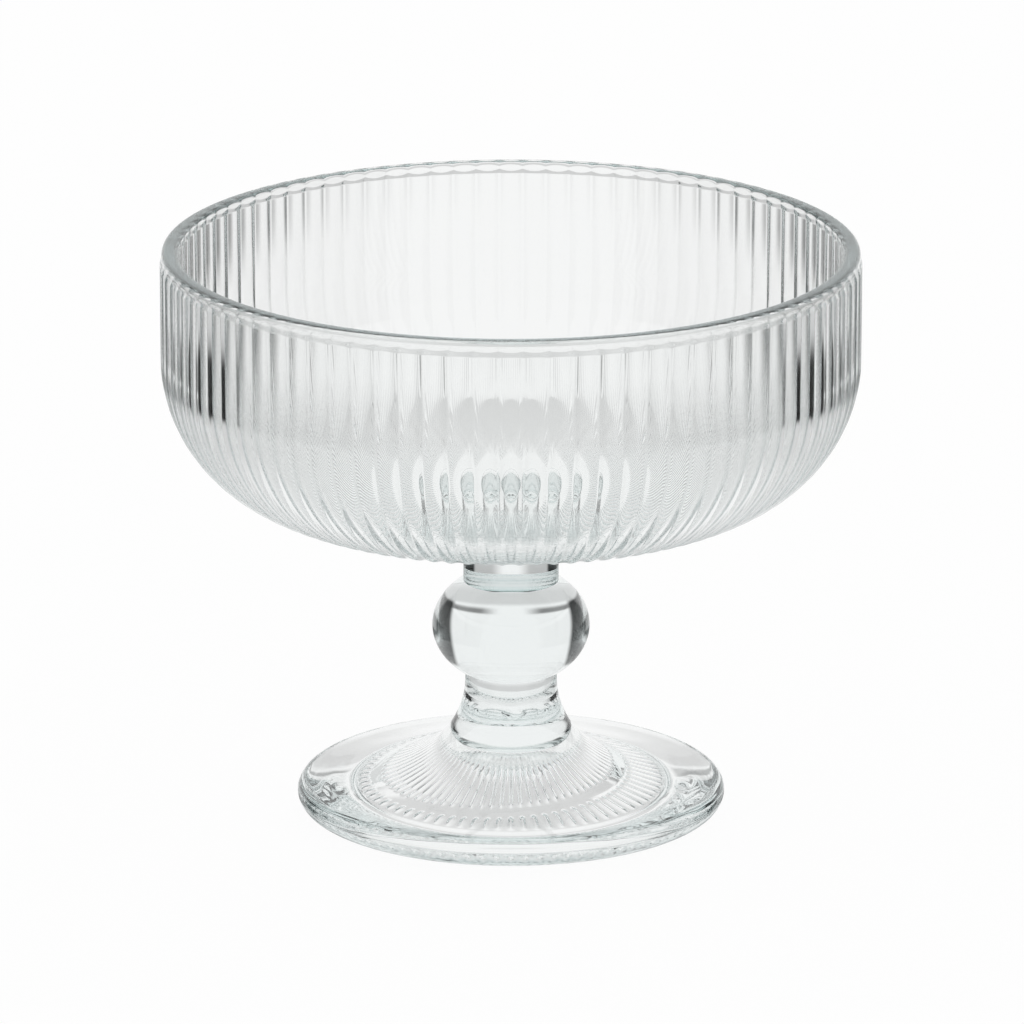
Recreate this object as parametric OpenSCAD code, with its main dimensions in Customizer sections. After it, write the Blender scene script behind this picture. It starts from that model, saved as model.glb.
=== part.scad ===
// Ribbed dessert glass: a wide bowl on a short neck, a round knop, a stem and a foot.
// Five portions of clear glass are fused hot, end to end, at flat seams.
// The origin is on the table, under the middle of the foot, and +Z points up.

/* [Foot] */
// Diameter of the foot
foot_d = 71; // [62:0.5:84]
// Height of the foot, from the table to its seam with the stem
foot_h = 17.4; // [15:0.1:22]
// Height of the foot's widest line
foot_edge_h = 3.9; // [3.2:0.1:5]
// Radius of the upper round of the foot's edge
foot_edge_top_r = 2; // [1:0.1:3]
// Radius of the lower round of the foot's edge
foot_edge_low_r = 2.3; // [1:0.1:3]
// Outer diameter of the flat ring that the glass rests on
foot_rest_d = 55; // [53:0.5:58]
// Width of the flat ring
foot_rest_w = 1.8; // [1:0.1:2.4]
// Height of the step from the resting ring up to the hollow underneath
foot_step_h = 1.2; // [0.8:0.1:2]
// Height of the hollow under the foot, at its middle
foot_hollow_h = 12; // [10:0.1:12.5]
// Radius of the knee, where the slope of the hollow eases towards the edge
foot_knee_r = 18; // [17:0.1:19]
// Height of the knee
foot_knee_h = 4.3; // [3.9:0.1:4.6]

/* [Ribs under the foot] */
// Number of radial ribs
foot_ribs = 72; // [36:1:90]
// Depth of the grooves between the ribs
foot_groove_h = 0.5; // [0.2:0.05:0.7]
// Radius at which the ribs start
foot_rib_in_r = 9; // [8.5:0.1:10.5]
// Inner radius of the plain ring that crosses the ribs
foot_band_r = 18.6; // [17:0.1:19.5]
// Width of the plain ring
foot_band_w = 1.7; // [1:0.1:2]
// How far the plain ring sits off the middle, towards -X
foot_band_shift = 2.2; // [0:0.1:2.5]
// Width of the plain margin between the ribs and the step
foot_margin_w = 0.6; // [0.4:0.1:1]

/* [Stem] */
// Diameter of the stem
stem_d = 15.2; // [13:0.1:17]
// Height of the stem, from its seam with the foot to the knop
stem_h = 7; // [5.5:0.1:10]
// Length of the straight part under the knop
stem_straight_h = 1; // [0.5:0.1:3]
// Radius of the sweep from the stem out to the foot
flare_r = 15.4; // [14:0.1:16.5]

/* [Knop] */
// Diameter of the knop
knop_d = 26.1; // [22:0.1:32]
// Height that the knop would have if it were not cut flat at its seams
knop_full_h = 19.7; // [16:0.1:24]

/* [Neck] */
// Diameter of the neck
neck_d = 15.8; // [13:0.1:18]
// Height of the neck, from the knop to the bowl
neck_h = 11.9; // [9:0.1:16]
// Radius of the fillet under the bowl
neck_fillet_r = 2.4; // [1:0.1:3.5]

/* [Bowl] */
// Outer diameter of the bowl, across the ribs
bowl_d = 115; // [105:0.5:130]
// Height of the straight wall, with the lip
wall_h = 18.2; // [14:0.1:40]
// Outer radius of the round between the wall and the bottom
corner_r = 25.2; // [20:0.1:28]
// Height that the bottom of the bowl rises from its flat to the round
dish_h = 2.6; // [1.5:0.1:4]
// Diameter of the flat middle of the bottom, outside
bowl_flat_d = 33; // [26:0.5:36]
// Thickness of the lip
lip_t = 2.7; // [2.4:0.1:3.4]
// Height of the plain lip above the ribs
lip_h = 1.4; // [1.2:0.1:2.5]
// Radius of the two rounds of the lip
lip_edge_r = 0.8; // [0.4:0.1:1]
// Thickness of the bottom of the bowl
base_t = 4.6; // [3.5:0.1:6]

/* [Ribs on the bowl] */
// Number of ribs round the bowl
bowl_ribs = 90; // [60:1:100]
// Depth of the hollow flutes between the ribs, at the wall
bowl_rib_h = 0.3; // [0.15:0.05:0.6]
// Height over which the tops of the ribs slope off under the lip
rib_top_h = 1.2; // [0.5:0.1:2]
// How far the lip stands in from the ribs
lip_inset = 0.3; // [0.2:0.05:0.6]

/* [Hidden] */
glass_color = [0.84, 0.92, 0.91, 0.6];
// Facets of a full circle
round_steps = 144;
$fn = round_steps;
// Points on a short arc and on a long curve
arc_steps = 6;
curve_steps = 10;
knop_steps = 24;
// How far a cut runs past the face that it opens
overrun = 1;

// Foot and flare
foot_r = foot_d / 2;
stem_r = stem_d / 2;
flare_slope = 21;
flare_c = [stem_r + flare_r, foot_h + stem_h - stem_straight_h];
flare_end = flare_c - flare_r * [sin(flare_slope), cos(flare_slope)];
edge_low_c = [foot_r - foot_edge_low_r, foot_edge_h];
edge_top_c = [foot_r - foot_edge_top_r, foot_edge_h];
edge_top = edge_top_c + [0, foot_edge_top_r];
edge_turn = [flare_end[0] + (flare_end[1] - edge_top[1]) / tan(flare_slope), edge_top[1]];

// Resting ring, and the slope of the skirt that rises from it to the lower round
rest_out_r = foot_rest_d / 2;
rest_in_r = rest_out_r - foot_rest_w;
skirt_run = edge_low_c - [rest_out_r, 0];
skirt_slope = atan2(skirt_run[1], skirt_run[0]) - asin(foot_edge_low_r / norm(skirt_run));

// Hollow under the foot: a flat crown, then a steep slope and a gentle one, which carry the ribs
hollow_out = [rest_in_r - foot_step_h / 2, foot_step_h];
hollow_knee = [foot_knee_r, foot_knee_h];
crown_share = 0.85;
hollow_top = [foot_rib_in_r * crown_share, foot_hollow_h];
rib_out_r = hollow_out[0] - foot_margin_w;

// Grooves under the foot: how wide each is, as a share of the space it has at its inner end
groove_share = 0.7;

// Knop, cut where its outline meets the stem and the neck
knop_r = knop_d / 2;
neck_r = neck_d / 2;
knop_half_h = knop_full_h / 2;
knop_low_h = knop_half_h * sqrt(1 - pow(stem_r / knop_r, 2));
knop_high_h = knop_half_h * sqrt(1 - pow(neck_r / knop_r, 2));
knop_h = knop_low_h + knop_high_h;

// Heights of the seams
stem_z = foot_h;
knop_z = stem_z + stem_h;
neck_z = knop_z + knop_h;
bowl_z = neck_z + neck_h;

// Outer line of the bowl, measured up from its seam with the neck
bowl_r = bowl_d / 2;
bowl_flat_r = bowl_flat_d / 2;
corner_turn = 73;
dish_slope = 90 - corner_turn;
corner_drop = corner_r * sin(corner_turn);
corner_z = dish_h + corner_drop;
bowl_h = corner_z + wall_h;
corner_c = [bowl_r - corner_r, corner_z];
dish_out = corner_c + corner_r * [cos(corner_turn), -sin(corner_turn)];
dish_turn = [dish_out[0] - dish_out[1] / tan(dish_slope), 0];
dish_in = [bowl_flat_r, 0];
wall_mid_z = corner_z + wall_h / 2;

// Lip and inner line of the bowl
lip_out_r = bowl_r - lip_inset;
// How far the tops of the ribs end inside the lip's outer face, so that the two never graze
lip_step_share = 0.1;
lip_step = lip_t * lip_step_share;
cavity_r = lip_out_r - lip_t;
lip_z = bowl_h - lip_h;
lip_round_z = bowl_h - lip_edge_r;
cavity_corner_r = corner_r - (bowl_r - cavity_r);
cavity_c = [cavity_r - cavity_corner_r, corner_z];
cavity_out = cavity_c + cavity_corner_r * [cos(corner_turn), -sin(corner_turn)];
cavity_turn = [cavity_out[0] - (cavity_out[1] - base_t) / tan(dish_slope), base_t];
cavity_flat_share = 0.7;
cavity_in = [cavity_turn[0] * cavity_flat_share, base_t];

// Ribs: columns of points for each one, of which the first is on its crest and the others in the flute
rib_columns = 3;
columns = bowl_ribs * rib_columns;
column_turn = 360 / columns;

// Points on an arc round c, from angle a to angle b
function arc_points(c, r, a, b, n) = [
    for (i = [0 : n]) let (t = a + (b - a) * i / n) c + r * [cos(t), sin(t)]
];

// Points on a smooth bend from p to q that leaves and arrives along lines through the turn
function bend_points(p, turn, q, n) = [
    for (i = [0 : n]) let (t = i / n) (1 - t) * (1 - t) * p + 2 * t * (1 - t) * turn + t * t * q
];

// Solid of revolution from an outline in radius and height
module turned(outline) {
    rotate_extrude() polygon(outline);
}

// Foot
function foot_outline() = concat(
    [[0, foot_hollow_h], hollow_top, hollow_knee, hollow_out, [rest_in_r, 0], [rest_out_r, 0]],
    arc_points(edge_low_c, foot_edge_low_r, skirt_slope - 90, 0, arc_steps),
    arc_points(edge_top_c, foot_edge_top_r, 0, 90, arc_steps),
    bend_points(edge_top, edge_turn, flare_end, curve_steps),
    [for (i = [1 : curve_steps]) let (t = i / curve_steps)
        let (z = flare_end[1] + (foot_h - flare_end[1]) * t)
        [flare_c[0] - sqrt(pow(flare_r, 2) - pow(flare_c[1] - z, 2)), z]],
    [[0, foot_h]]
);

// A point on the line from p to q, at radius r
function on_line(p, q, r) = p + (q - p) * (r - p[0]) / (q[0] - p[0]);

// How far out, along angle a, a circle of radius r around the plain ring's own middle lies
function ring_reach(r, a) = sqrt(pow(r, 2) - pow(foot_band_shift * sin(a), 2)) - foot_band_shift * cos(a);

// One straight stretch of a groove, between two radii on the slope from p to q
module groove_stretch(p, q, in_r, out_r, half_w) {
    start = on_line(p, q, in_r);
    run = on_line(p, q, out_r) - start;
    translate([start[0], 0, start[1]])
        rotate([0, -atan2(run[1], run[0]), 0])
            rotate([90, 0, 90])
                linear_extrude(norm(run))
                    polygon([[-half_w, 0], [-half_w, -foot_groove_h], [half_w, -foot_groove_h],
                        [half_w, 0], [0, foot_groove_h]]);
}

// One groove, which bends at the knee where it runs well past it
module groove(in_r, out_r) {
    half_w = in_r * sin(180 / foot_ribs) * groove_share;
    overlap = foot_groove_h / 2;
    if (foot_knee_r - in_r > foot_groove_h && out_r - foot_knee_r > foot_groove_h) {
        groove_stretch(hollow_top, hollow_knee, in_r, foot_knee_r + overlap, half_w);
        groove_stretch(hollow_knee, hollow_out, foot_knee_r - overlap, out_r, half_w);
    } else if (out_r - foot_knee_r > foot_groove_h) {
        groove_stretch(hollow_knee, hollow_out, in_r, out_r, half_w);
    } else {
        groove_stretch(hollow_top, hollow_knee, in_r, out_r, half_w);
    }
}

module foot_grooves() {
    for (i = [0 : foot_ribs - 1])
        let (a = 360 * i / foot_ribs)
            rotate([0, 0, a]) {
                groove(foot_rib_in_r, ring_reach(foot_band_r, a));
                groove(ring_reach(foot_band_r + foot_band_w, a), rib_out_r);
            }
}

module foot() {
    color(glass_color)
        difference() {
            turned(foot_outline());
            foot_grooves();
        }
}

// Stem, with the upper part of the sweep
function stem_outline() = concat(
    [[0, 0]],
    [for (i = [0 : curve_steps]) let (t = i / curve_steps)
        let (z = foot_h + (flare_c[1] - foot_h) * t)
        [flare_c[0] - sqrt(pow(flare_r, 2) - pow(flare_c[1] - z, 2)), z - foot_h]],
    [[stem_r, stem_h], [0, stem_h]]
);

module stem() {
    color(glass_color)
        translate([0, 0, stem_z])
            turned(stem_outline());
}

// Knop: a flattened ball between two flat seams
function knop_outline() =
    let (low = -asin(knop_low_h / knop_half_h), high = asin(knop_high_h / knop_half_h))
    concat(
        [[0, 0]],
        [for (i = [0 : knop_steps]) let (t = low + (high - low) * i / knop_steps)
            [knop_r * cos(t), knop_low_h + knop_half_h * sin(t)]],
        [[0, knop_h]]
    );

module knop() {
    color(glass_color)
        translate([0, 0, knop_z])
            turned(knop_outline());
}

// Neck, with a fillet that spreads under the bowl
fillet_turn = 60;
function neck_outline() = concat(
    [[0, 0], [neck_r, 0]],
    arc_points([neck_r + neck_fillet_r, neck_h - neck_fillet_r], neck_fillet_r, 180, 180 - fillet_turn,
        arc_steps),
    [[neck_r + neck_fillet_r * (1 - cos(fillet_turn)), neck_h], [0, neck_h]]
);

module neck() {
    color(glass_color)
        translate([0, 0, neck_z])
            turned(neck_outline());
}

// Bowl: each ring of points is [radius, height, outward direction, depth of the flutes]
function ring_at(point, normal, depth) = [point[0], point[1], normal[0], normal[1], depth];
function depth_at(r) = bowl_rib_h * r / bowl_r;

function bowl_rings() = concat(
    [ring_at([lip_out_r - lip_step, lip_z], [1, 0], 0)],
    [for (z = [lip_z - rib_top_h, wall_mid_z]) ring_at([bowl_r, z], [1, 0], bowl_rib_h)],
    [for (p = arc_points(corner_c, corner_r, 0, -corner_turn, curve_steps))
        ring_at(p, (p - corner_c) / corner_r, depth_at(p[0]))],
    [for (i = [1 : arc_steps - 1]) let (t = i / arc_steps, tilt = dish_slope * (1 - t))
        let (p = bend_points(dish_out, dish_turn, dish_in, arc_steps)[i])
        ring_at(p, [sin(tilt), -cos(tilt)], depth_at(p[0]))],
    [ring_at(dish_in, [0, -1], 0)]
);

function rib_point(ring, column) =
    let (dip = column % rib_columns == 0 ? 0 : ring[4], a = column * column_turn)
    let (r = ring[0] - ring[2] * dip)
    [r * cos(a), r * sin(a), ring[1] - ring[3] * dip];

module ribbed_blank() {
    rings = bowl_rings();
    last = len(rings) - 1;
    points = [for (ring = rings) for (i = [0 : columns - 1]) rib_point(ring, i)];
    sides = [for (k = [0 : last - 1]) for (i = [0 : columns - 1])
        let (j = (i + 1) % columns, up = k * columns, low = up + columns)
        each [[up + i, low + i, low + j], [up + i, low + j, up + j]]];
    top = [for (i = [0 : columns - 1]) i];
    bottom = [for (i = [0 : columns - 1]) last * columns + columns - 1 - i];
    polyhedron(points, [for (f = concat(sides, [top, bottom])) [for (i = [len(f) - 1 : -1 : 0]) f[i]]]);
}

// Plain lip on top of the ribs, before the hollow is cut
function lip_outline() = concat(
    [[0, lip_z], [lip_out_r, lip_z]],
    arc_points([lip_out_r - lip_edge_r, lip_round_z], lip_edge_r, 0, 90, arc_steps),
    [[0, bowl_h]]
);

// Hollow of the bowl, opening out over the inner round of the lip
function cavity_outline() = concat(
    [[0, base_t]],
    bend_points(cavity_in, cavity_turn, cavity_out, arc_steps),
    [for (i = [1 : curve_steps]) let (t = -corner_turn * (1 - i / curve_steps))
        cavity_c + cavity_corner_r * [cos(t), sin(t)]],
    arc_points([cavity_r + lip_edge_r, lip_round_z], lip_edge_r, 180, 90, arc_steps),
    [[cavity_r + lip_edge_r, bowl_h + overrun], [0, bowl_h + overrun]]
);

module bowl() {
    color(glass_color)
        translate([0, 0, bowl_z])
            difference() {
                union() {
                    ribbed_blank();
                    turned(lip_outline());
                }
                turned(cavity_outline());
            }
}

foot();
stem();
knop();
neck();
bowl();
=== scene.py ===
"""Ribbed dessert glass: five portions of clear glass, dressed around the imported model."""
import math

import bpy
import numpy as np
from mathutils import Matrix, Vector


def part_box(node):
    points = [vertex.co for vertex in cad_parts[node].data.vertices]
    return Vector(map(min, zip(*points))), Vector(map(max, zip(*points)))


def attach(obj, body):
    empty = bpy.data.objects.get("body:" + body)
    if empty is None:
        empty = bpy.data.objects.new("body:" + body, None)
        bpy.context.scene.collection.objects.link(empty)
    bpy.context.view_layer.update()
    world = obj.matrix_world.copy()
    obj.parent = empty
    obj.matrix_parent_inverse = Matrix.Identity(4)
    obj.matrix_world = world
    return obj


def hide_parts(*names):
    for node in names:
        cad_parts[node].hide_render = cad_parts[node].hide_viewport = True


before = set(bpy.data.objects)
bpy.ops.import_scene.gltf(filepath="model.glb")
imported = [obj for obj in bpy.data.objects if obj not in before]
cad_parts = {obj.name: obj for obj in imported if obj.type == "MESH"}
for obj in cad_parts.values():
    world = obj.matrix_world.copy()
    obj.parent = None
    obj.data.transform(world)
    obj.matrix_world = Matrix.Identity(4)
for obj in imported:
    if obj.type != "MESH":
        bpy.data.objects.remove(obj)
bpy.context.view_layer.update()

MM = 0.001

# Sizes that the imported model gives
foot_low, foot_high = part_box("foot")
stem_low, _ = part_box("stem")
knop_low, knop_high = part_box("knop")
neck_low, neck_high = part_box("neck")
bowl_low, bowl_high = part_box("bowl")
FOOT_R = (foot_high[0] - foot_low[0]) / 2
KNOP_R = (knop_high[0] - knop_low[0]) / 2
BOWL_R = (bowl_high[0] - bowl_low[0]) / 2
STEM_Z = stem_low[2]
KNOP_Z = knop_low[2]
NECK_Z = neck_low[2]
BOWL_Z = bowl_low[2]
RIM_Z = bowl_high[2]

# Foot: its edge is widest at EDGE_H, and rounded above and below
EDGE_H = 3.9 * MM
EDGE_TOP_R = 2.0 * MM
EDGE_LOW_R = 2.3 * MM
# The ring that it stands on, and the step up from there into the hollow
REST_OUT_R = 27.5 * MM
REST_W = 1.8 * MM
STEP_H = 1.2 * MM
# The hollow's flat crown, which ends at a share of the radius where the ribs begin, and the knee below
HOLLOW_H = 12.0 * MM
CROWN_SHARE = 0.85
CROWN_START_SHARE = 0.1
KNEE = (18.0 * MM, 4.3 * MM)
# The plain ring that crosses the ribs, a little to the left of the axis
BAND_R = 18.6 * MM
BAND_W = 1.7 * MM
BAND_SHIFT = 2.2 * MM
BAND_END = 1.4 * MM
# The grooves of the ribs: their reach, depth, and the length over which each runs out
FOOT_RIBS = 72
FOOT_RIB_IN_R = 9.0 * MM
FOOT_MARGIN_W = 0.6 * MM
FOOT_RIB_H = 0.5 * MM
RIB_END = 3.0 * MM
# The hollow sweep from the foot up to the stem
FLARE_R = 15.4 * MM
FLARE_SLOPE = math.radians(21)

# Stem, knop and neck
STEM_R = 7.6 * MM
STEM_STRAIGHT_H = 1.0 * MM
KNOP_HALF_H = 9.85 * MM
NECK_R = 7.9 * MM
NECK_FILLET_R = 2.4 * MM
FILLET_TURN = math.radians(60)
FLARE_C = np.array([STEM_R + FLARE_R, KNOP_Z - STEM_STRAIGHT_H])
# Where on the sweep the seam between foot and stem lies
SEAM_TURN = math.pi + math.asin((FLARE_C[1] - STEM_Z) / FLARE_R)

# Bowl: a flat, a shallow dish, a large corner and an upright wall
BOWL_FLAT_R = 16.5 * MM
DISH_H = 2.6 * MM
CORNER_R = 25.2 * MM
CORNER_TURN = math.radians(73)
BASE_T = 4.6 * MM
# The inner floor's level middle begins at a share of the radius where the dish would meet it
FLOOR_SHARE = 0.7
FLOOR_START_R = 1 * MM
LIP_T = 2.7 * MM
LIP_H = 1.4 * MM
LIP_EDGE_R = 0.8 * MM
LIP_INSET = 0.3 * MM
BOWL_RIBS = 90
BOWL_RIB_H = 0.3 * MM
RIB_TOP_H = 1.2 * MM
FLUTE_END = 3.0 * MM

# Where the columns of points stand across a rib, as shares of its width: they are closest at the narrow
# crest or groove
COLUMN_SHARES = (0, 0.03, 0.08, 0.18, 0.33, 0.5, 0.67, 0.82, 0.92, 0.97)
# The broad part of a rib's profile, as a share of its width: the rest is the narrow crest or groove
BOWL_BROAD = 0.85
FOOT_BROAD = 0.8
PLAIN_COLUMNS = 360

# Rows of points along the outlines: those of the foot from the crown round to the seam
CROWN_ROWS = 2
HIGH_RIB_ROWS = 50
LOW_RIB_ROWS = 30
REST_ROWS = 2
SKIRT_ROWS = 3
EDGE_ROWS = 8
FOOT_TOP_ROWS = 16
FLARE_ROWS = 14
# Those of the stem, knop and neck
STEM_FLARE_ROWS = 12
STEM_ROWS = 3
KNOP_ROWS = 72
NECK_ROWS = 8
FILLET_ROWS = 10
NECK_END_ROWS = 2
# Those of the bowl, outside and then inside
DISH_ROWS = 16
CORNER_ROWS = 34
RIB_TOP_ROWS = 10
LIP_ROWS = 6
INNER_CORNER_ROWS = 20
INNER_DISH_ROWS = 8
FLOOR_ROWS = 2

# A hair's breadth on each side of a seam, so that light leaves one piece before it enters the next
SEAM_GAP = 0.004 * MM
# Two stretches of an outline that come nearer than this share a point
SAME_POINT = 0.001 * MM


def arc(centre, radius, start, end, steps):
    """Points on an arc, in radius and height."""
    turns = np.linspace(start, end, steps + 1)
    ways = np.stack([np.cos(turns), np.sin(turns)], 1)
    return np.asarray(centre) + radius * ways


def bend(start, turn, end, steps):
    """Points on a smooth bend that leaves start and reaches end along lines through turn."""
    t = np.linspace(0, 1, steps + 1)[:, None]
    return (1 - t) ** 2 * np.asarray(start) + 2 * t * (1 - t) * np.asarray(turn) + t * t * np.asarray(end)


def line(start, end, steps=1):
    """Evenly spaced points on a straight line."""
    t = np.linspace(0, 1, steps + 1)[:, None]
    return (1 - t) * np.asarray(start) + t * np.asarray(end)


def join(*stretches):
    """One outline from stretches that start where the last one ended."""
    points = [stretches[0]]
    for stretch in stretches[1:]:
        gap = np.linalg.norm(stretch[0] - points[-1][-1])
        points.append(stretch[1:] if gap < SAME_POINT else stretch)
    return np.concatenate(points)


def outward(points):
    """The direction square to an outline at each of its points, to its right."""
    ways = np.gradient(points, axis=0)
    ways /= np.linalg.norm(ways, axis=1)[:, None]
    return np.stack([ways[:, 1], -ways[:, 0]], 1)


def rib_columns(ribs, broad, hollow):
    """The angles of all columns round a ribbed piece, and how far down each lies.

    That is 0 on a crest and 1 in a groove. Hollow ribs have narrow crests between broad flutes. The
    others have narrow grooves between broad rounds.
    """
    shares = np.asarray(COLUMN_SHARES)
    side = np.abs(2 * shares - 1)
    past = np.maximum(side - broad, 0)
    narrow = (np.minimum(side, broad) ** 2 + 2 * broad * past - broad * past**2 / (1 - broad)) / broad
    dip = 1 - narrow if hollow else narrow
    turns = (np.arange(ribs)[:, None] + shares[None]) * 2 * math.pi / ribs
    return turns.ravel(), np.tile(dip, ribs)


def grid(outline, depths, columns):
    """Points of a turned surface, with grooves as deep as depths says for each row and column."""
    turns, dip = columns
    ways = outward(outline)
    r = outline[:, None, 0] - ways[:, None, 0] * depths * dip[None]
    z = outline[:, None, 1] - ways[:, None, 1] * depths * dip[None]
    return np.stack([r * np.cos(turns), r * np.sin(turns), z], 2)


def glass_piece(name, outline, depths, columns, low_seam, high_seam):
    """A closed mesh from an outline that runs from the bottom round to the top.

    Each end is closed by a flat fan to the axis. The last two arguments say whether each end is a seam.
    """
    outline = outline.copy()
    outline[0, 1] += SEAM_GAP * low_seam
    outline[-1, 1] -= SEAM_GAP * high_seam
    rings = grid(outline, depths, columns)
    count, around = rings.shape[:2]
    points = np.concatenate([rings.reshape(-1, 3), [[0, 0, outline[0, 1]]], [[0, 0, outline[-1, 1]]]])
    low_point, high_point = count * around, count * around + 1
    i = np.arange(around)
    j = (i + 1) % around
    rows = np.arange(count - 1)[:, None] * around
    quads = np.stack([rows + i, rows + j, rows + around + j, rows + around + i], 2).reshape(-1, 4)
    low_fan = np.stack([np.full(around, low_point), j, i], 1)
    last = (count - 1) * around
    high_fan = np.stack([np.full(around, high_point), last + i, last + j], 1)
    mesh = bpy.data.meshes.new(name)
    faces = quads.tolist() + low_fan.tolist() + high_fan.tolist()
    mesh.from_pydata(points.tolist(), [], faces)
    mesh.polygons.foreach_set("use_smooth", np.ones(len(faces), bool))
    # The faces of a seam are marked for the material, and the edges round it stay sharp
    on_seam = np.zeros(len(faces), np.float32)
    on_seam[len(quads):len(quads) + around] = low_seam
    on_seam[len(quads) + around:] = high_seam
    seam = mesh.attributes.new("seam", "FLOAT", "FACE")
    seam.data.foreach_set("value", on_seam)
    sharp = mesh.attributes.new("sharp_edge", "BOOLEAN", "EDGE")
    ends = np.empty(len(mesh.edges) * 2, np.int32)
    mesh.edges.foreach_get("vertices", ends)
    ends = ends.reshape(-1, 2)
    on_low = (ends < around).all(1) & bool(low_seam)
    on_high = ((ends >= last) & (ends < low_point)).all(1) & bool(high_seam)
    sharp.data.foreach_set("value", on_low | on_high)
    mesh.validate()
    mesh.update()
    piece = bpy.data.objects.new(name, mesh)
    bpy.context.collection.objects.link(piece)
    return piece


def rounded_end(share):
    """How much of its depth a groove has, by how far it is along an end that is round like a spoon's."""
    share = np.clip(share, 0, 1)
    return np.sqrt(1 - (1 - share) ** 2)


def soft_end(share):
    """The same for an end that fades out."""
    share = np.clip(share, 0, 1)
    return share * share * (3 - 2 * share)


# Outlines, from the bottom round the outside to the top, in radius and height. The ribbed ones come with
# the depths of their grooves and with their columns.

def foot_outline():
    flare_end = FLARE_C - FLARE_R * np.array([math.sin(FLARE_SLOPE), math.cos(FLARE_SLOPE)])
    edge_c = np.array([FOOT_R - EDGE_LOW_R, EDGE_H])
    edge_top = np.array([FOOT_R - EDGE_TOP_R, EDGE_H + EDGE_TOP_R])
    edge_turn = np.array([flare_end[0] + (flare_end[1] - edge_top[1]) / math.tan(FLARE_SLOPE), edge_top[1]])
    reach = edge_c - [REST_OUT_R, 0]
    skirt_slope = math.atan2(reach[1], reach[0]) - math.asin(EDGE_LOW_R / np.hypot(*reach))
    skirt_out = edge_c + EDGE_LOW_R * np.array([math.sin(skirt_slope), -math.cos(skirt_slope)])
    rest_in_r = REST_OUT_R - REST_W
    hollow_out = np.array([rest_in_r - STEP_H / 2, STEP_H])
    hollow_top = np.array([FOOT_RIB_IN_R * CROWN_SHARE, HOLLOW_H])
    under = join(
        line([FOOT_RIB_IN_R * CROWN_START_SHARE, HOLLOW_H], hollow_top, CROWN_ROWS),
        line(hollow_top, KNEE, HIGH_RIB_ROWS),
        line(KNEE, hollow_out, LOW_RIB_ROWS),
        line(hollow_out, [rest_in_r, 0], REST_ROWS),
        line([rest_in_r, 0], [REST_OUT_R, 0], REST_ROWS),
        line([REST_OUT_R, 0], skirt_out, SKIRT_ROWS),
    )
    top = join(
        arc(edge_c, EDGE_LOW_R, skirt_slope - math.pi / 2, 0, EDGE_ROWS),
        arc([edge_top[0], EDGE_H], EDGE_TOP_R, 0, math.pi / 2, EDGE_ROWS),
        bend(edge_top, edge_turn, flare_end, FOOT_TOP_ROWS),
        arc(FLARE_C, FLARE_R, 1.5 * math.pi - FLARE_SLOPE, SEAM_TURN, FLARE_ROWS),
    )
    outline = join(under, top)
    columns = rib_columns(FOOT_RIBS, FOOT_BROAD, False)
    r = outline[:, :1]
    under_side = np.zeros((len(outline), 1))
    under_side[:len(under)] = 1
    inner = soft_end((r - FOOT_RIB_IN_R) / RIB_END)
    outer = rounded_end((hollow_out[0] - FOOT_MARGIN_W - r) / RIB_END)
    turns = columns[0][None]
    from_band = np.hypot(r * np.cos(turns) + BAND_SHIFT, r * np.sin(turns)) - BAND_R - BAND_W / 2
    band = soft_end((np.abs(from_band) - BAND_W / 2) / BAND_END)
    return outline, under_side * inner * outer * band * FOOT_RIB_H, columns


def stem_outline():
    sweep = arc(FLARE_C, FLARE_R, SEAM_TURN, math.pi, STEM_FLARE_ROWS)
    return join(sweep, line([STEM_R, FLARE_C[1]], [STEM_R, KNOP_Z], STEM_ROWS))


def knop_outline():
    low = -math.acos(STEM_R / KNOP_R)
    high = math.acos(NECK_R / KNOP_R)
    middle = KNOP_Z - KNOP_HALF_H * math.sin(low)
    turns = np.linspace(low, high, KNOP_ROWS + 1)
    return np.stack([KNOP_R * np.cos(turns), middle + KNOP_HALF_H * np.sin(turns)], 1)


def neck_outline():
    fillet_c = [NECK_R + NECK_FILLET_R, BOWL_Z - NECK_FILLET_R]
    spread = arc(fillet_c, NECK_FILLET_R, math.pi, math.pi - FILLET_TURN, FILLET_ROWS)
    upright = line([NECK_R, NECK_Z], spread[0], NECK_ROWS)
    return join(upright, spread, line(spread[-1], [spread[-1][0], BOWL_Z], NECK_END_ROWS))


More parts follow.
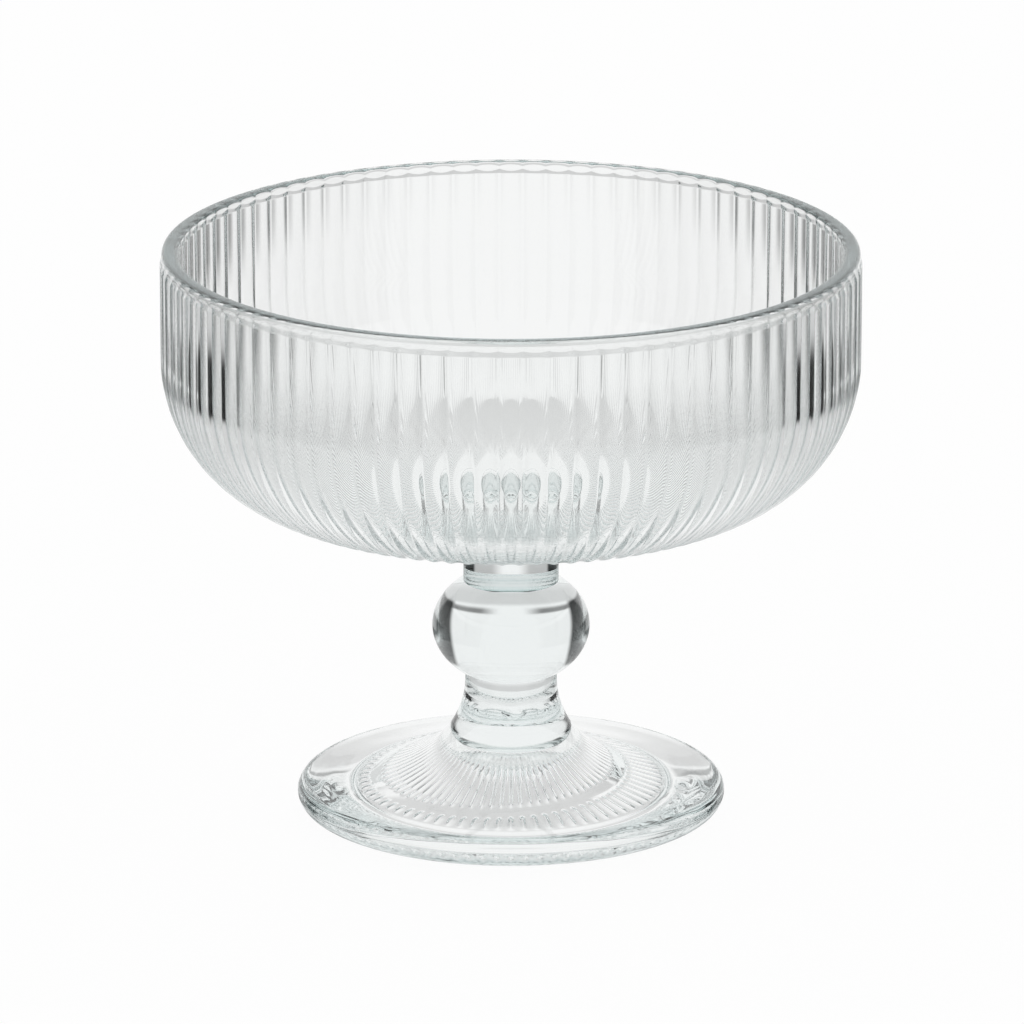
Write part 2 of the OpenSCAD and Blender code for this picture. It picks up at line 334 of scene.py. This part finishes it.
def bowl_outline():
    corner_drop = CORNER_R * math.sin(CORNER_TURN)
    corner_z = BOWL_Z + DISH_H + corner_drop
    corner_c = [BOWL_R - CORNER_R, corner_z]
    slope = math.pi / 2 - CORNER_TURN
    corner_way = np.array([math.cos(CORNER_TURN), -math.sin(CORNER_TURN)])
    dish_out = np.array(corner_c) + CORNER_R * corner_way
    dish_turn = [dish_out[0] - DISH_H / math.tan(slope), BOWL_Z]
    lip_out_r = BOWL_R - LIP_INSET
    lip_z = RIM_Z - LIP_H
    cavity_r = lip_out_r - LIP_T
    inner_r = CORNER_R - (BOWL_R - cavity_r)
    inner_c = [cavity_r - inner_r, corner_z]
    inner_out = np.array(inner_c) + inner_r * corner_way
    base_z = BOWL_Z + BASE_T
    inner_turn = [inner_out[0] - (inner_out[1] - base_z) / math.tan(slope), base_z]
    floor_out = [inner_turn[0] * FLOOR_SHARE, base_z]
    # The tops of the ribs round off inwards to the lip
    share = np.linspace(0, 1, RIB_TOP_ROWS + 1)
    rib_top_r = BOWL_R - LIP_INSET * (1 - np.cos(share * math.pi)) / 2
    rib_top = np.stack([rib_top_r, lip_z - RIB_TOP_H * (1 - share)], 1)
    outer = join(
        bend([BOWL_FLAT_R, BOWL_Z], dish_turn, dish_out, DISH_ROWS),
        arc(corner_c, CORNER_R, -CORNER_TURN, 0, CORNER_ROWS),
        line([BOWL_R, corner_z], [BOWL_R, lip_z - RIB_TOP_H]),
        rib_top,
    )
    round_z = RIM_Z - LIP_EDGE_R
    lip = join(
        line([lip_out_r, lip_z], [lip_out_r, round_z]),
        arc([lip_out_r - LIP_EDGE_R, round_z], LIP_EDGE_R, 0, math.pi / 2, LIP_ROWS),
        arc([cavity_r + LIP_EDGE_R, round_z], LIP_EDGE_R, math.pi / 2, math.pi, LIP_ROWS),
    )
    inner = join(
        line([cavity_r, round_z], [cavity_r, corner_z]),
        arc(inner_c, inner_r, 0, -CORNER_TURN, INNER_CORNER_ROWS),
        bend(inner_out, inner_turn, floor_out, INNER_DISH_ROWS),
        line(floor_out, [FLOOR_START_R, base_z], FLOOR_ROWS),
    )
    seat = line([neck_high[0], BOWL_Z], [BOWL_FLAT_R, BOWL_Z])
    outline = join(seat, outer, lip, inner)
    depths = np.zeros((len(outline), 1))
    first, last = len(seat) - 1, len(seat) + len(outer) - 1
    r, z = outline[first:last, :1], outline[first:last, 1:]
    from_seat = np.clip((r - BOWL_FLAT_R) / FLUTE_END, 0, 1)
    depths[first:last] = BOWL_RIB_H * r / BOWL_R * rounded_end((lip_z - z) / RIB_TOP_H) * from_seat
    return outline, depths, rib_columns(BOWL_RIBS, BOWL_BROAD, True)


# Materials

# How glass bends light, the colour that it gives where it is crossed, and what each metre of depth takes
GLASS_IOR = 1.5
GLASS_COLOR = (0.97, 0.975, 0.972)
DEPTH_COLOR = (0.8, 0.87, 0.87)
DEPTH_DENSITY = 18.0

# Waves in the surface: their length, their height from trough to crest, and how much finer ripples add
WAVE_LENGTH = 9 * MM
WAVE_H = 0.01 * MM
FOOT_WAVE_H = 0.18 * MM
WAVE_DETAIL = 1.0
WAVE_ROUGHNESS = 0.5


def node_material(name):
    """A new material with an empty node tree."""
    material = bpy.data.materials.new(name)
    material.use_nodes = True
    nodes = material.node_tree.nodes
    nodes.clear()
    return material, nodes, material.node_tree.links


def waves(nodes, links, height):
    """The slight waviness of pressed glass: broad swells and finer ripples."""
    place = nodes.new("ShaderNodeTexCoord")
    swell = nodes.new("ShaderNodeTexNoise")
    swell.inputs["Scale"].default_value = 1 / WAVE_LENGTH
    swell.inputs["Detail"].default_value = WAVE_DETAIL
    swell.inputs["Roughness"].default_value = WAVE_ROUGHNESS
    links.new(place.outputs["Object"], swell.inputs["Vector"])
    bump = nodes.new("ShaderNodeBump")
    bump.inputs["Distance"].default_value = height
    links.new(swell.outputs["Fac"], bump.inputs["Height"])
    return bump.outputs["Normal"]


def clear_glass(name, wave_h):
    """Clear glass, tinted by its depth. Light crosses a fused seam as if nothing were there."""
    material, nodes, links = node_material(name)
    surface = nodes.new("ShaderNodeBsdfPrincipled")
    surface.inputs["Base Color"].default_value = (*GLASS_COLOR, 1)
    surface.inputs["Roughness"].default_value = 0.0
    surface.inputs["IOR"].default_value = GLASS_IOR
    surface.inputs["Transmission Weight"].default_value = 1.0
    links.new(waves(nodes, links, wave_h), surface.inputs["Normal"])
    nothing = nodes.new("ShaderNodeBsdfTransparent")
    seam = nodes.new("ShaderNodeAttribute")
    seam.attribute_name = "seam"
    mix = nodes.new("ShaderNodeMixShader")
    links.new(seam.outputs["Fac"], mix.inputs[0])
    links.new(surface.outputs["BSDF"], mix.inputs[1])
    links.new(nothing.outputs["BSDF"], mix.inputs[2])
    depth = nodes.new("ShaderNodeVolumeAbsorption")
    depth.inputs["Color"].default_value = (*DEPTH_COLOR, 1)
    depth.inputs["Density"].default_value = DEPTH_DENSITY
    out = nodes.new("ShaderNodeOutputMaterial")
    links.new(mix.outputs[0], out.inputs["Surface"])
    links.new(depth.outputs["Volume"], out.inputs["Volume"])
    return material


def dress(piece, node, wave_h):
    """Gives a piece its glass, named after the node, hangs it from the root body and hides the node that it
    replaces.
    """
    piece.data.materials.append(clear_glass(node + "_glass", wave_h))
    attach(piece, "root")
    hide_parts(node)


def plain(outline):
    """A smooth outline with its depths and columns."""
    turns = np.arange(PLAIN_COLUMNS) * 2 * math.pi / PLAIN_COLUMNS
    return outline, np.zeros((len(outline), 1)), (turns, np.zeros(PLAIN_COLUMNS))


dress(glass_piece("foot_glass", *foot_outline(), 0, 1), "foot", FOOT_WAVE_H)
for name, outline in (("stem", stem_outline()), ("knop", knop_outline()), ("neck", neck_outline())):
    dress(glass_piece(name + "_glass", *plain(outline), 1, 1), name, WAVE_H)
dress(glass_piece("bowl_glass", *bowl_outline(), 1, 0), "bowl", WAVE_H)


# Camera, as fitted to the photograph
CAMERA_DISTANCE = 1.5
CAMERA_PITCH = math.radians(16.88)
LOOK_Z = 51.75 * MM
PIXELS_PER_METRE = 6060
IMAGE_SIDE = 1024
SENSOR = 36.0
AXIS_X = 511.0
CLIP_END = 100


def add_camera():
    """A long lens that looks slightly down at the glass."""
    data = bpy.data.cameras.new("camera")
    camera = bpy.data.objects.new("camera", data)
    bpy.context.collection.objects.link(camera)
    data.sensor_width = SENSOR
    data.lens = PIXELS_PER_METRE * CAMERA_DISTANCE / IMAGE_SIDE * SENSOR
    data.clip_end = CLIP_END
    data.shift_x = (IMAGE_SIDE / 2 - AXIS_X) / IMAGE_SIDE
    back, up = math.cos(CAMERA_PITCH), math.sin(CAMERA_PITCH)
    camera.location = (0, -CAMERA_DISTANCE * back, LOOK_Z + CAMERA_DISTANCE * up)
    camera.rotation_euler = (math.pi / 2 - CAMERA_PITCH, 0, 0)
    bpy.context.scene.camera = camera


add_camera()


# Studio

# Dark flags stand on both sides of the white backdrop. Below the horizon, where glass sees through the
# floor to the world, the same patches are painted shade of the floor: the second and third lie wholly
# there. For each: the azimuths, from straight behind the glass, where it begins and is full, and where it
# thins out and ends; the sines of the elevations at its foot and top; and how dark it is
FLAGS_AND_FLOOR_SHADE = (
    ((37, 43, 125, 145), (-0.42, -0.35, 0.37, 0.42), 0.98),
    ((5, 18, 100, 125), (-0.38, -0.33, -0.31, -0.28), 0.75),
    ((-5, 0, 83, 100), (-0.74, -0.51, -0.42, -0.37), 0.3),
)
# The studio is a little darker in front, from the first azimuth on and in full from the second
BACKDROP_WHITE = 0.96
FRONT_WHITE = 0.85
FRONT_TURN = (60, 150)
# How much of the floor is plain white to the camera, and the paint that takes the shadow
FLOOR_WHITE = 0.96
FLOOR_PAINT = 0.9
FLOOR_SIDE = 3.0
# How often light is followed through the glass, and from mirror to mirror
PATH_BOUNCES = 32
MIRROR_BOUNCES = 16


def math_node(nodes, links, operation, *values):
    """The outcome of one sum on numbers or on other nodes' outcomes."""
    node = nodes.new("ShaderNodeMath")
    node.operation = operation
    for place, value in enumerate(values):
        if isinstance(value, (int, float)):
            node.inputs[place].default_value = value
        else:
            links.new(value, node.inputs[place])
    return node.outputs[0]


def ramp(nodes, links, value, start, end, low, high):
    """Low up to start, high from end on, and a smooth way between them."""
    node = nodes.new("ShaderNodeMapRange")
    node.interpolation_type = "SMOOTHSTEP"
    links.new(value, node.inputs["Value"])
    for name, number in (("From Min", start), ("From Max", end), ("To Min", low), ("To Max", high)):
        node.inputs[name].default_value = number
    return node.outputs["Result"]


def within(nodes, links, value, limits):
    """1 between the two inner limits and 0 beyond the outer ones."""
    into = ramp(nodes, links, value, limits[0], limits[1], 0, 1)
    out_of = ramp(nodes, links, value, limits[2], limits[3], 1, 0)
    return math_node(nodes, links, "MULTIPLY", into, out_of)


def surroundings(nodes, links, way):
    """How bright the studio is in a direction, with painted shade of the floor below the horizon."""
    split = nodes.new("ShaderNodeSeparateXYZ")
    links.new(way, split.inputs[0])
    across = math_node(nodes, links, "ABSOLUTE", split.outputs[0])
    turn = math_node(nodes, links, "ARCTAN2", across, split.outputs[1])
    front = [math.radians(a) for a in FRONT_TURN]
    bright = ramp(nodes, links, turn, *front, BACKDROP_WHITE, FRONT_WHITE)
    # Each patch darkens the studio: a flag above the horizon, and painted floor shade below it
    for sides, heights, dark in FLAGS_AND_FLOOR_SHADE:
        beside = within(nodes, links, turn, [math.radians(a) for a in sides])
        level = within(nodes, links, split.outputs[2], heights)
        shade = math_node(nodes, links, "MULTIPLY", beside, level)
        left = math_node(nodes, links, "SUBTRACT", 1, math_node(nodes, links, "MULTIPLY", shade, dark))
        bright = math_node(nodes, links, "MULTIPLY", bright, left)
    return bright


def add_floor():
    """The white surface that the glass stands on."""
    side = FLOOR_SIDE
    corners = [(-side, -side, 0), (side, -side, 0), (side, side, 0), (-side, side, 0)]
    mesh = bpy.data.meshes.new("floor")
    mesh.from_pydata(corners, [], [(0, 1, 2, 3)])
    floor = bpy.data.objects.new("floor", mesh)
    bpy.context.collection.objects.link(floor)
    # The camera sees white with the object's shadow. Glass shows the studio through it, where the world
    # holds painted shade of the floor below the horizon.
    material, nodes, links = node_material("floor")
    paint = nodes.new("ShaderNodeBsdfDiffuse")
    paint.inputs["Color"].default_value = (FLOOR_PAINT, FLOOR_PAINT, FLOOR_PAINT, 1)
    white = nodes.new("ShaderNodeEmission")
    path = nodes.new("ShaderNodeLightPath")
    share = math_node(nodes, links, "MULTIPLY", path.outputs["Is Camera Ray"], FLOOR_WHITE)
    plain_floor = nodes.new("ShaderNodeMixShader")
    links.new(share, plain_floor.inputs[0])
    links.new(paint.outputs[0], plain_floor.inputs[1])
    links.new(white.outputs[0], plain_floor.inputs[2])
    through = nodes.new("ShaderNodeBsdfTransparent")
    crossed, mirrored = path.outputs["Is Transmission Ray"], path.outputs["Is Glossy Ray"]
    bent = math_node(nodes, links, "MAXIMUM", crossed, mirrored)
    mix = nodes.new("ShaderNodeMixShader")
    links.new(bent, mix.inputs[0])
    links.new(plain_floor.outputs[0], mix.inputs[1])
    links.new(through.outputs[0], mix.inputs[2])
    out = nodes.new("ShaderNodeOutputMaterial")
    links.new(mix.outputs[0], out.inputs["Surface"])
    mesh.materials.append(material)


def add_world():
    """White to the camera, and to the glass the studio with its flags and, below the horizon, painted shade
    of the floor.
    """
    world = bpy.data.worlds.new("studio")
    bpy.context.scene.world = world
    world.use_nodes = True
    nodes, links = world.node_tree.nodes, world.node_tree.links
    nodes.clear()
    white = nodes.new("ShaderNodeBackground")
    white.inputs["Color"].default_value = (1, 1, 1, 1)
    place = nodes.new("ShaderNodeTexCoord")
    path = nodes.new("ShaderNodeLightPath")
    bright = surroundings(nodes, links, place.outputs["Generated"])
    bright = math_node(nodes, links, "MAXIMUM", bright, path.outputs["Is Camera Ray"])
    links.new(bright, white.inputs["Strength"])
    out = nodes.new("ShaderNodeOutputWorld")
    links.new(white.outputs[0], out.inputs["Surface"])


add_floor()
add_world()

scene = bpy.context.scene
scene.view_settings.view_transform = "Standard"
scene.cycles.max_bounces = PATH_BOUNCES
scene.cycles.transmission_bounces = PATH_BOUNCES
scene.cycles.glossy_bounces = MIRROR_BOUNCES
scene.cycles.transparent_max_bounces = PATH_BOUNCES
